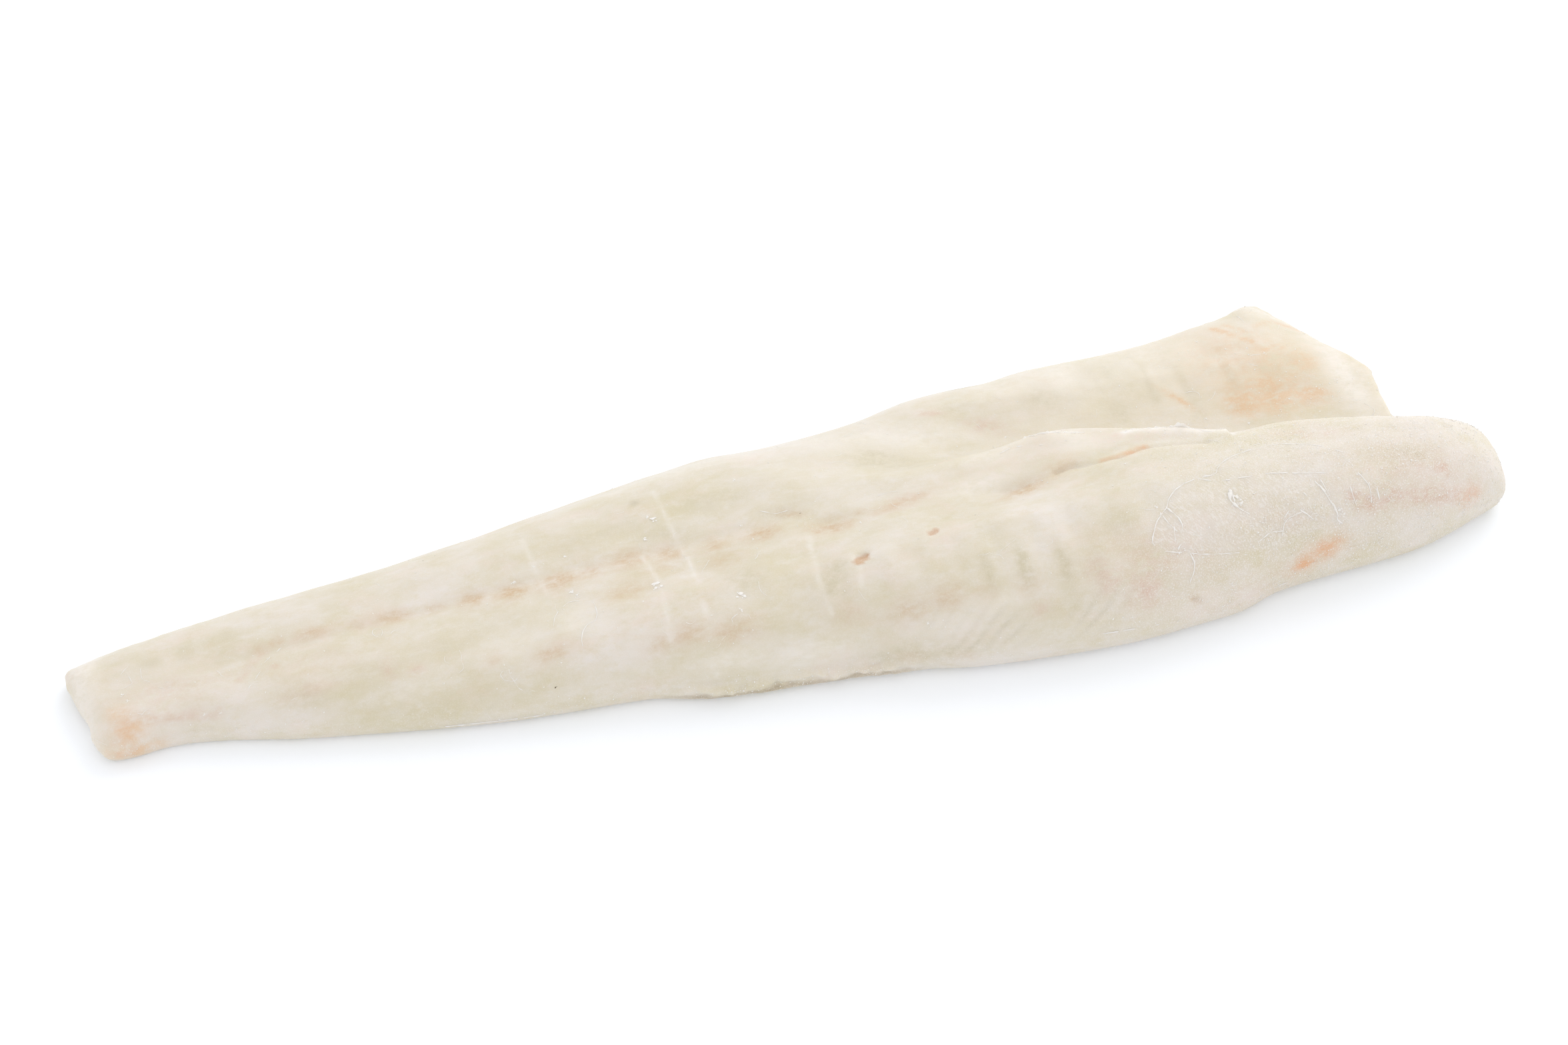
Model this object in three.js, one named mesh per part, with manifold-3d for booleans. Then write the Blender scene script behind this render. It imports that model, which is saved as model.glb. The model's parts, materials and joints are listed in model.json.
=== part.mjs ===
// A skinless, boneless Alaska pollock fillet, frozen, lying on its skin side with the bone side up.
// Millimetres, +Z up. +X runs from the cut tail to the head end, the thick loin lies along -Y and
// the thin belly flap along +Y. The origin is on the flat underside, in the middle of the box.
import * as THREE from "three";
import { mergeVertices } from "three/addons/utils/BufferGeometryUtils.js";
import Module from "manifold-3d";

// Driving dimensions
const length = 291; // along the fillet, tail cut to the tip of the loin
const widest = 83.4; // across it, from the loin's fullest point to the knob on the flap
const loinHeight = 22.5; // the loin's crown at its thickest
const head = length / 2;
const tail = -head;

// How finely the surface is divided
const bodyStations = 104;
const endStations = 8; // extra ones over each rounded end
const endZone = 9;
const stepsBetweenRails = [11, 5, 4, 5, 5, 8];

// How wide the rounding is at each edge, and how full: 2 is an ellipse, more is squarer
const loinSide = { fullness: 2.3 }; // reaches up to the crown
const bellySide = { width: 9, share: 0.45, fullness: 2 }; // at most this share of the way to the seam
const tailCut = { width: 5, fullness: 2 };
const loinEnd = { width: 18, fullness: 2 };
const flapEnd = { width: 13, fullness: 1.6 };
const undersideRounding = 3.6;
const unevenness = 0.35;

const { clamp, lerp, smoothstep } = THREE.MathUtils;

// A smooth curve through [x, value] points that never overshoots them.
function through(points) {
  const xs = points.map((p) => p[0]);
  const vs = points.map((p) => p[1]);
  const last = points.length - 1;
  const slopes = xs.slice(1).map((x, i) => (vs[i + 1] - vs[i]) / (x - xs[i]));
  const tangents = xs.map((_, i) => {
    if (i === 0) return slopes[0];
    if (i === last) return slopes[last - 1];
    const [before, after] = [slopes[i - 1], slopes[i]];
    return before * after <= 0 ? 0 : (2 * before * after) / (before + after);
  });
  return (x) => {
    if (x <= xs[0]) return vs[0];
    if (x >= xs[last]) return vs[last];
    let i = 0;
    while (x > xs[i + 1]) i += 1;
    const span = xs[i + 1] - xs[i];
    const t = (x - xs[i]) / span;
    const [t2, t3] = [t * t, t * t * t];
    return (
      (2 * t3 - 3 * t2 + 1) * vs[i] +
      (t3 - 2 * t2 + t) * span * tangents[i] +
      (3 * t2 - 2 * t3) * vs[i + 1] +
      (t3 - t2) * span * tangents[i + 1]
    );
  };
}

// A line that runs along the fillet: its place across and its height, from [x, y, z] points.
function rail(points) {
  return {
    y: through(points.map((p) => [p[0], p[1]])),
    z: through(points.map((p) => [p[0], p[2]])),
  };
}

// The two side edges, at the widest line of the flesh above the table.
const frontEdge = rail([
  [tail, -16.9, 2.6],
  [-136, -18.3, 2.6],
  [-128, -17.4, 2.6],
  [-99, -23, 2.7],
  [-61, -28.8, 2.8],
  [-37, -30.3, 3.4],
  [-17, -32.9, 3.8],
  [5, -34.4, 4],
  [31, -39.9, 4.6],
  [59, -widest / 2, 5],
  [74, -40.6, 5],
  [82, -39.7, 5],
  [92, -36.4, 5],
  [121, -33.4, 5.2],
  [head, -25, 5.5],
]);
const backEdge = rail([
  [tail, 5, 2.6],
  [-124, 9.1, 2.7],
  [-72, 15, 3],
  [-60, 16.8, 3.1],
  [-24, 23.3, 3.4],
  [-12, 24.5, 3.4],
  [-3, 24.4, 3.4],
  [15, 26.3, 3.3],
  [37, 31.2, 3.1],
  [49, 31.6, 3],
  [61, 33.6, 2.8],
  [81, 34.8, 2.6],
  [101, 38.2, 2.4],
  [106, 39.2, 2.4],
  [111.5, widest / 2, 2.3],
  [head, widest / 2, 2.2],
]);

// The lines over the top between them, from the loin to the belly flap.
const crown = rail([
  [tail, -10, 6.8],
  [-109, -12, 10],
  [-49, -15, 14],
  [11, -19, 18.5],
  [81, -18, loinHeight],
  [113, -18, loinHeight - 1],
  [head, -18, loinHeight - 6],
]);
const seam = rail([
  [tail, -5.5, 6.8],
  [-109, -5.5, 9.4],
  [-39, -3, 13.2],
  [1, -3, 15.6],
  [45, -8.5, 17.8],
  [69, -5, 19.4],
  [91, -9.5, 20.4],
  [115, -13, 20.4],
  [head, -13.5, 15.5],
]);
const tongue = rail([
  [tail, -1.5, 6.8],
  [-49, 4, 13],
  [-9, 6.5, 14.8],
  [11, 3, 15.5],
  [24, 1, 16.2],
  [41, 1.5, 17.5],
  [56, 4, 17.3],
  [73, 1.4, 16.3],
  [91, -5.2, 17.2],
  [101, -6.4, 18.6],
  [110, -7.8, 18.9],
  [118, -8.7, 18.1],
  [127, -9, 15.2],
  [head, -8.4, 12.4],
]);
const valley = rail([
  [tail, 1.5, 6.4],
  [-59, 11, 11],
  [-9, 15.5, 13.4],
  [11, 11.5, 12.9],
  [24, 9.5, 11.4],
  [41, 11, 8.4],
  [61, 10, 6.4],
  [86, 4.5, 4.2],
  [111, 0, 3.4],
  [head, -3, 3],
]);
const flap = rail([
  [tail, 4, 6],
  [-59, 14, 10.4],
  [1, 21.5, 12],
  [24, 20.5, 10.6],
  [41, 23, 10.2],
  [81, 23, 7.6],
  [111, 23, 6.4],
  [head, 19, 4.6],
]);
const rails = [frontEdge, crown, seam, tongue, valley, flap, backEdge];
const lastRail = rails.length - 1;

// Where the ends cut those lines off, by the number of the rail: 0 is the front edge, 6 the back.
const tailEnd = through([
  [0, tail + 4.8],
  [0.5, tail + 3.2],
  [1, tail + 3.1],
  [2, tail + 1.6],
  [3, tail + 0.7],
  [4, tail],
  [5, tail + 0.1],
  [6, tail + 0.8],
]);
const headEnd = through([
  [0, head - 2],
  [0.3, head - 0.8],
  [1, head - 0.2],
  [2, head],
  [3, head - 1],
  [3.6, head - 2.6],
  [3.85, head - 5.7],
  [4, head - 12.5],
  [4.1, head - 15],
  [4.5, head - 14.9],
  [4.9, head - 14.4],
  [5, head - 17],
  [5.3, head - 22.1],
  [5.6, head - 26.2],
  [5.8, head - 29],
  [6, head - 31.2],
]);

// The small forms on top of those lines
const seamGroove = { from: -123, to: 7, depth: 0.5, halfWidth: 1.6, fade: 12 };
const crease = { from: 33, to: 87, depth: 0.7, halfWidth: 2, fade: 14 };
const muscleBands = { from: -29, to: 83, pitch: 8, depth: 0.35, lean: 0.12, fade: 25 };
const flapRibs = { from: 41, to: 126, pitch: 9, depth: 0.3, lean: -0.55, fade: 20 };
const dents = [
  { x: 0, y: -1, across: 2.2, along: 5, depth: 0.5 },
  { x: 6, y: -7.2, across: 2, along: 5.5, depth: 0.8 },
  { x: 45.5, y: -8.6, across: 3, along: 8, depth: 1.1 },
  { x: -21, y: -11, across: 4, along: 9, depth: 0.5 },
  { x: 111, y: 38, across: 3.5, along: 4, depth: -1.6 }, // the knob on the flap's corner
];
const boneHoles = [
  { x: 9.7, y: -18.9, along: 2, across: 1, depth: 1.1 },
  { x: 24.5, y: -17.6, along: 1.3, across: 0.7, depth: 0.8 },
];

// 1 in the middle of a stretch, falling smoothly to 0 over `fade` at both ends.
function stretch(x, { from, to, fade }) {
  return smoothstep(x, from, from + fade) * (1 - smoothstep(x, to - fade, to));
}

function bell(distance, halfWidth) {
  return Math.exp(-((distance / halfWidth) ** 2));
}

// Rounding of an edge: 0 on it, 1 at `width` inside it, upright where it starts.
function rounded(distance, { width, fullness }) {
  const t = clamp(distance / width, 0, 1);
  return (1 - (1 - t) ** fullness) ** (1 / fullness);
}

// Slow unevenness of flesh, about 1 either way.
function uneven(x, y) {
  return (
    0.5 * Math.sin(x * 0.11 + y * 0.07 + 0.6) +
    0.3 * Math.sin(x * 0.23 - y * 0.19 + 2.1) +
    0.2 * Math.sin(x * 0.41 + y * 0.37 + 4.4)
  );
}

// Height of the section through the lines over the top at x, level outside them.
function sectionHeight(x, y) {
  return through(rails.slice(1, lastRail).map((line) => [line.y(x), line.z(x)]))(y);
}

// Ridges across the flesh, one every `pitch`, as deep as `depth`.
function ridges(x, y, { pitch, lean, depth }) {
  return depth * (0.5 + 0.5 * Math.cos((2 * Math.PI * (x + lean * y)) / pitch));
}

// The relief that is finer than the rails.
function relief(x, y) {
  const fromSeam = y - seam.y(x);
  const downLoin = (crown.y(x) - y) / (crown.y(x) - frontEdge.y(x)); // 0 on the crown, 1 at the edge
  const outFlap = (y - valley.y(x)) / (backEdge.y(x) - valley.y(x)); // 0 in the valley, 1 at the edge
  let z = unevenness * uneven(x, y);
  for (const groove of [seamGroove, crease]) {
    z -= groove.depth * bell(fromSeam, groove.halfWidth) * stretch(x, groove);
  }
  z -= ridges(x, y, muscleBands) * stretch(x, muscleBands) *
    stretch(downLoin, { from: -0.2, to: 0.8, fade: 0.4 });
  z -= ridges(x, y, flapRibs) * stretch(x, flapRibs) *
    stretch(outFlap, { from: 0.1, to: 0.95, fade: 0.3 });
  for (const dent of dents) {
    z -= dent.depth * bell(x - dent.x, dent.along) * bell(y - dent.y, dent.across);
  }
  return z;
}

// A place on the fillet: s runs from tail to head, k is the number of a rail or lies between two.
function plan(s, k) {
  const x = lerp(tailEnd(k), headEnd(k), s);
  const below = Math.min(Math.floor(k), lastRail - 1);
  return { x, y: lerp(rails[below].y(x), rails[below + 1].y(x), k - below) };
}

// How far across the fillet a place lies: 0 at the front edge, 1 at the back.
function shareAcross({ x, y }) {
  return (y - frontEdge.y(x)) / (backEdge.y(x) - frontEdge.y(x));
}

function rimHeight(place) {
  return lerp(frontEdge.z(place.x), backEdge.z(place.x), shareAcross(place));
}

function topPoint(s, k) {
  const place = plan(s, k);
  const { x, y } = place;
  const rim = rimHeight(place);
  const onFlap = smoothstep(k, 3.4, 4.1);
  const bellyRounding = Math.min(bellySide.width, bellySide.share * (backEdge.y(x) - seam.y(x)));
  const headWidth = lerp(loinEnd.width, flapEnd.width, onFlap);
  const headFullness = lerp(loinEnd.fullness, flapEnd.fullness, onFlap);
  const risen =
    rounded(y - frontEdge.y(x), { ...loinSide, width: crown.y(x) - frontEdge.y(x) }) *
    rounded(backEdge.y(x) - y, { ...bellySide, width: bellyRounding }) *
    rounded(x - tailEnd(k), tailCut) *
    rounded(headEnd(k) - x, { width: headWidth, fullness: headFullness });
  const height = sectionHeight(x, y) + relief(x, y);
  return [x, y, rim + (height - rim) * risen];
}

// Places across the surface: every rail, and steps between them that close up at the two edges.
function acrossParameters() {
  const parameters = [];
  stepsBetweenRails.forEach((steps, below) => {
    for (let i = 0; i < steps; i += 1) {
      const quarter = (Math.PI / 2) * (i / steps);
      let part = i / steps;
      if (below === 0) part = 1 - Math.cos(quarter);
      if (below === lastRail - 1) part = Math.sin(quarter);
      parameters.push(below + part);
    }
  });
  return [...parameters, lastRail];
}

function alongParameters() {
  const zone = endZone / length;
  const steps = [];
  for (let i = 0; i < endStations; i += 1) {
    steps.push(zone * (1 - Math.cos((Math.PI / 2) * (i / endStations))));
  }
  const mirrored = steps.map((s) => 1 - s).reverse();
  for (let i = 0; i <= bodyStations; i += 1) {
    steps.push(lerp(zone, 1 - zone, i / bodyStations));
  }
  return [...steps, ...mirrored];
}

// The rim's place moved in under the fillet, towards its middle.
function inset(s, k, amount) {
  const towardsMiddle = (share, size) => 0.5 + (share - 0.5) * (1 - (2 * amount) / size);
  const x = plan(towardsMiddle(s, length), k).x;
  const across = towardsMiddle(shareAcross(plan(s, k)), widest);
  return { x, y: lerp(frontEdge.y(x), backEdge.y(x), across) };
}

// The surface is one sheet over the top, two rounding rings under the rim and a flat underside.
function buildSurface() {
  const along = alongParameters();
  const across = acrossParameters();
  const positions = [];
  const triangles = [];
  const columns = across.length;
  const rows = along.length;
  along.forEach((s) => across.forEach((k) => positions.push(...topPoint(s, k))));
  for (let i = 0; i < rows - 1; i += 1) {
    for (let j = 0; j < columns - 1; j += 1) {
      const corner = i * columns + j;
      const [next, beyond] = [corner + columns, corner + columns + 1];
      triangles.push(corner, next, beyond, corner, beyond, corner + 1);
    }
  }
  // The rim, counterclockwise from above: loin edge, head end, belly edge, tail end.
  const rim = [];
  for (let i = 0; i < rows - 1; i += 1) rim.push([i, 0]);
  for (let j = 0; j < columns - 1; j += 1) rim.push([rows - 1, j]);
  for (let i = rows - 1; i > 0; i -= 1) rim.push([i, columns - 1]);
  for (let j = columns - 1; j > 0; j -= 1) rim.push([0, j]);
  let ring = rim.map(([i, j]) => i * columns + j);
  for (const turn of [Math.PI / 4, Math.PI / 2]) {
    const below = rim.map(([i, j]) => {
      const place = inset(along[i], across[j], undersideRounding * (1 - Math.cos(turn)));
      positions.push(place.x, place.y, rimHeight(place) * (1 - Math.sin(turn)));
      return positions.length / 3 - 1;
    });
    ring.forEach((vertex, i) => {
      const next = (i + 1) % ring.length;
      triangles.push(vertex, below[i], below[next], vertex, below[next], ring[next]);
    });
    ring = below;
  }
  const contour = ring.map((v) => new THREE.Vector2(positions[3 * v], positions[3 * v + 1]));
  for (const [a, b, c] of THREE.ShapeUtils.triangulateShape(contour, [])) {
    triangles.push(ring[a], ring[c], ring[b]);
  }
  const geometry = new THREE.BufferGeometry();
  geometry.setAttribute("position", new THREE.Float32BufferAttribute(positions, 3));
  geometry.setIndex(triangles);
  return geometry;
}

const wasm = await Module();
wasm.setup();

function toSolid(geometry) {
  const bare = geometry.clone();
  bare.deleteAttribute("normal");
  bare.deleteAttribute("uv");
  const merged = mergeVertices(bare, 1e-4);
  return new wasm.Manifold(
    new wasm.Mesh({
      numProp: 3,
      vertProperties: merged.getAttribute("position").array,
      triVerts: new Uint32Array(merged.getIndex().array),
    }),
  );
}

function toGeometry(solid) {
  const mesh = solid.getMesh();
  const geometry = new THREE.BufferGeometry();
  geometry.setAttribute("position", new THREE.Float32BufferAttribute(mesh.vertProperties, 3));
  geometry.setIndex(Array.from(mesh.triVerts));
  geometry.computeVertexNormals();
  return geometry;
}

// An egg-shaped pit, sunk into the flesh along the lie of the muscle.
function pit({ x, y, along, across, depth }) {
  const egg = new THREE.SphereGeometry(1, 10, 8);
  egg.scale(along, across, depth);
  egg.rotateZ(0.3);
  egg.translate(x, y, sectionHeight(x, y) + relief(x, y));
  return toSolid(egg);
}

function buildFillet() {
  let solid = toSolid(buildSurface());
  for (const hole of boneHoles) solid = solid.subtract(pit(hole));
  const geometry = toGeometry(solid);
  geometry.computeBoundingBox();
  const centre = geometry.boundingBox.getCenter(new THREE.Vector3());
  geometry.translate(-centre.x, -centre.y, 0);
  return geometry;
}

const flesh = new THREE.MeshStandardMaterial({ color: 0xe8dfd0, roughness: 0.45, metalness: 0 });
const fillet = new THREE.Mesh(buildFillet(), flesh);
fillet.name = "fillet";

const part = new THREE.Group();
part.add(fillet);

export default part;
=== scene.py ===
# A skinless, boneless Alaska pollock fillet, frozen, lying on its skin side with the bone side up.
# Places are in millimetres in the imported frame: x from the cut tail to the head end, y from the
# thick loin to the thin belly flap, z up. Blender's own unit is the metre, so mm turns one to the other.
import json
import math

import bpy
import numpy as np
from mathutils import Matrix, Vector
from mathutils.bvhtree import BVHTree

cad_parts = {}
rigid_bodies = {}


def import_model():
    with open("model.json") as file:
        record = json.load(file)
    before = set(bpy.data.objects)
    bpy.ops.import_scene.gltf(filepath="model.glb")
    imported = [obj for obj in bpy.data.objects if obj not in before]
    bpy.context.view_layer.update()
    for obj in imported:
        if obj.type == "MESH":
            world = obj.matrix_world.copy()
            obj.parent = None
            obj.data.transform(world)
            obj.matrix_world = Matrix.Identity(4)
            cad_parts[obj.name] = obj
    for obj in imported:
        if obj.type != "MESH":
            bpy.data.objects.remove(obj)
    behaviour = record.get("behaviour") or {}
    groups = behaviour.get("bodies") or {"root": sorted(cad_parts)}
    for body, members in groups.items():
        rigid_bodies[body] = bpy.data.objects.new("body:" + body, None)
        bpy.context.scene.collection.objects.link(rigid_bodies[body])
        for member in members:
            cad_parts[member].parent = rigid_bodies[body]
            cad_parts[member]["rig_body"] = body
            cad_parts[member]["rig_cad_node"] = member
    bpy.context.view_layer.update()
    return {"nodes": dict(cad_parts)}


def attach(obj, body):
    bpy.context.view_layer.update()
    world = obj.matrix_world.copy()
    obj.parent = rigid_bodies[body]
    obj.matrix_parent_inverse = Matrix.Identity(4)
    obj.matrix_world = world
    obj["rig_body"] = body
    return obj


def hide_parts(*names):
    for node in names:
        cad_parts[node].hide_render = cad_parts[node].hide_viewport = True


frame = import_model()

mm = 0.001


def linear(hexColour):  # an sRGB hex value as the linear colour that a node takes
    channels = [int(hexColour[i:i + 2], 16) / 255 for i in (1, 3, 5)]
    return (*[c / 12.92 if c <= 0.04045 else ((c + 0.055) / 1.055) ** 2.4 for c in channels], 1)


def addNode(tree, kind, settings=None, links=None):
    # one node with its settings, by socket or property name, and what feeds its sockets
    made = tree.nodes.new("ShaderNode" + kind)
    for name, value in (settings or {}).items():
        if isinstance(name, int) or name in made.inputs:
            made.inputs[name].default_value = value
        else:
            setattr(made, name, value)
    for name, source in (links or {}).items():
        tree.links.new(source, made.inputs[name])
    return made


def newMaterial(name):
    made = bpy.data.materials.new(name)
    made.use_nodes = True
    made.node_tree.nodes.clear()
    return made, made.node_tree


def selectOnly(piece):
    bpy.ops.object.select_all(action="DESELECT")
    piece.select_set(True)
    bpy.context.view_layer.objects.active = piece


def applyModifier(piece, kind, **settings):
    selectOnly(piece)
    modifier = piece.modifiers.new(kind.title(), kind)
    for name, value in settings.items():
        setattr(modifier, name, value)
    bpy.ops.object.modifier_apply(modifier=modifier.name)


def pointsOf(piece, what="co"):
    flat = np.empty(3 * len(piece.data.vertices), np.float32)
    piece.data.vertices.foreach_get(what, flat)
    return flat.reshape(-1, 3).astype(float) / (mm if what == "co" else 1)


def movePoints(piece, points):
    piece.data.vertices.foreach_set("co", (points * mm).astype(np.float32).ravel())
    piece.data.update()


def paint(piece, name, amount):  # a named amount from 0 to 1 at each point, for the material to read
    layer = piece.data.attributes.new(name, "FLOAT", "POINT")
    layer.data.foreach_set("value", np.clip(amount, 0, 1).astype(np.float32))


def rise(value, low, high):  # 0 up to low, 1 from high on, smooth between
    t = np.clip((value - low) / (high - low), 0, 1)
    return t * t * (3 - 2 * t)


def bell(distance, width):
    return np.exp(-((distance / width) ** 2))


def hills(points, size, seed, longer=1):
    # smooth random unevenness, about -1 to 1, with hills `size` across and `longer` times that along x
    dice = np.random.default_rng(seed)
    waves = 28
    total = np.zeros(len(points))
    for _ in range(waves):
        way = dice.normal(size=3)
        way /= np.linalg.norm(way) * size * dice.uniform(1.4, 2.8)
        way[0] /= longer
        total += np.cos(2 * math.pi * (points @ way + dice.uniform()))
    return total / math.sqrt(waves)


def unevenness(points, layers):  # hills of several sizes, each a height and what hills takes
    return sum(height * hills(points, *rest) for height, *rest in layers)


def insideOutline(x, y, corners):  # whether places seen from above lie within a closed outline
    inside = np.zeros(len(x), bool)
    corners = np.array(corners)
    for (ax, ay), (bx, by) in zip(corners, np.roll(corners, -1, axis=0)):
        inside ^= ((ay > y) != (by > y)) & (x < (bx - ax) * (y - ay) / (by - ay + 1e-9) + ax)
    return inside


def smoothLine(corners, step):
    # points every `step` along a curve that passes smoothly through the corners
    corners = np.array(corners, float)
    ends = np.vstack([2 * corners[0] - corners[1], corners, 2 * corners[-1] - corners[-2]])
    run = []
    for a, b, c, d in zip(ends, ends[1:], ends[2:], ends[3:]):
        for t in np.arange(0, 1, step / max(np.linalg.norm(c - b), step)):
            run.append(0.5 * (2 * b + (c - a) * t + (2 * a - 5 * b + 4 * c - d) * t ** 2
                              + (3 * b - a - 3 * c + d) * t ** 3))
    return np.array([*run, corners[-1]])


class Surface:
    # the flesh as it stands, to lay marks and frost on
    def __init__(self, piece):
        self.tree = BVHTree.FromObject(piece, bpy.context.evaluated_depsgraph_get())

    def nearest(self, place):  # the closest place on the flesh and the way out of it
        spot, normal, _, _ = self.tree.find_nearest(Vector(place) * mm)
        return np.array(spot) / mm, np.array(normal)

    def seenFrom(self, start, way):  # where a straight line first meets it
        spot, normal, _, _ = self.tree.ray_cast(Vector(start) * mm, Vector(way))
        return np.array(spot) / mm, np.array(normal)

    def below(self, x, y):
        return self.seenFrom((x, y, 100), (0, 0, -1))

    def behind(self, x, z):  # from the front, at that height
        return self.seenFrom((x, -100, z), (0, 1, 0))


def oval(points, surface, place, along, across, turn=0):
    # 1 in the middle of an oval patch of skin, fading out past its half lengths; turn is from the x axis
    centre, normal = surface.nearest(place)
    ahead = np.array([1, 0, 0]) - normal[0] * normal
    ahead /= np.linalg.norm(ahead)
    side = np.cross(normal, ahead)
    c, s = math.cos(math.radians(turn)), math.sin(math.radians(turn))
    away = points - centre
    forward = away @ (c * ahead + s * side)
    aside = np.sqrt(np.maximum((away ** 2).sum(1) - forward ** 2, 0))
    return bell(np.hypot(forward / along, aside / across), 1)


def stroke(points, surface, corners, width):
    # 1 on a line laid on the flesh through the corners, fading out past the width
    line = np.array([surface.nearest(corner)[0] for corner in corners])
    nearest = np.full(len(points), np.inf)
    for a, b in zip(line, line[1:]):
        run = b - a
        t = np.clip((points - a) @ run / (run @ run), 0, 1)
        nearest = np.minimum(nearest, np.linalg.norm(points - a - t[:, None] * run, axis=1))
    return bell(nearest, width)


# The studio: a light table under an even white sky, with one large softbox behind it on the right.
studio = {
    "azimuth": -15,  # degrees round from straight in front of the loin
    "elevation": 48,
    "lens": 85,
    "distance": 745,
    "lookAt": (0, 4.1, 6),
    "floorSize": 8000,
    "floor": "#eceff3",
    "floorGlow": 0.125,
    "sky": "#fefeff",
    "skyStrength": 1.03,
    "softbox": {"place": (900, 900, 900), "size": 1200, "watts": 7},
}


def addCamera():
    turn, lift = math.radians(studio["azimuth"]), math.radians(studio["elevation"])
    back = Vector((math.sin(turn) * math.cos(lift), -math.cos(turn) * math.cos(lift), math.sin(lift)))
    bpy.ops.object.camera_add(location=(Vector(studio["lookAt"]) + back * studio["distance"]) * mm)
    camera = bpy.context.object
    camera.rotation_euler = back.to_track_quat("Z", "Y").to_euler()
    camera.data.lens = studio["lens"]
    camera.data.clip_start = 0.01
    bpy.context.scene.camera = camera


def lightTable():
    # Opal acrylic lit from below, as under food photographs: matt white, and it lightens the shadows.
    made, tree = newMaterial("lit opal acrylic")
    shader = addNode(tree, "BsdfPrincipled", {
        "Base Color": linear(studio["floor"]), "Roughness": 0.9,
        "Emission Color": linear("#ffffff"), "Emission Strength": studio["floorGlow"],
    })
    addNode(tree, "OutputMaterial", links={"Surface": shader.outputs["BSDF"]})
    return made


def addStudio():
    bpy.ops.mesh.primitive_plane_add(size=studio["floorSize"] * mm)
    floor = bpy.context.object
    floor.name = "floor"
    floor.data.materials.append(lightTable())
    box = studio["softbox"]
    bpy.ops.object.light_add(type="AREA", location=Vector(box["place"]) * mm)
    light = bpy.context.object
    light.data.shape = "DISK"
    light.data.size = box["size"] * mm
    light.data.energy = box["watts"]
    light.rotation_euler = light.location.to_track_quat("Z", "Y").to_euler()
    sky = bpy.data.worlds.new("white studio")
    bpy.context.scene.world = sky
    sky.use_nodes = True
    background = sky.node_tree.nodes["Background"]
    background.inputs["Color"].default_value = linear(studio["sky"])
    background.inputs["Strength"].default_value = studio["skyStrength"]
    bpy.context.scene.view_settings.view_transform = "Standard"


bpy.ops.object.select_all(action="DESELECT")
addCamera()
addStudio()
print("camera and studio")

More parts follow.
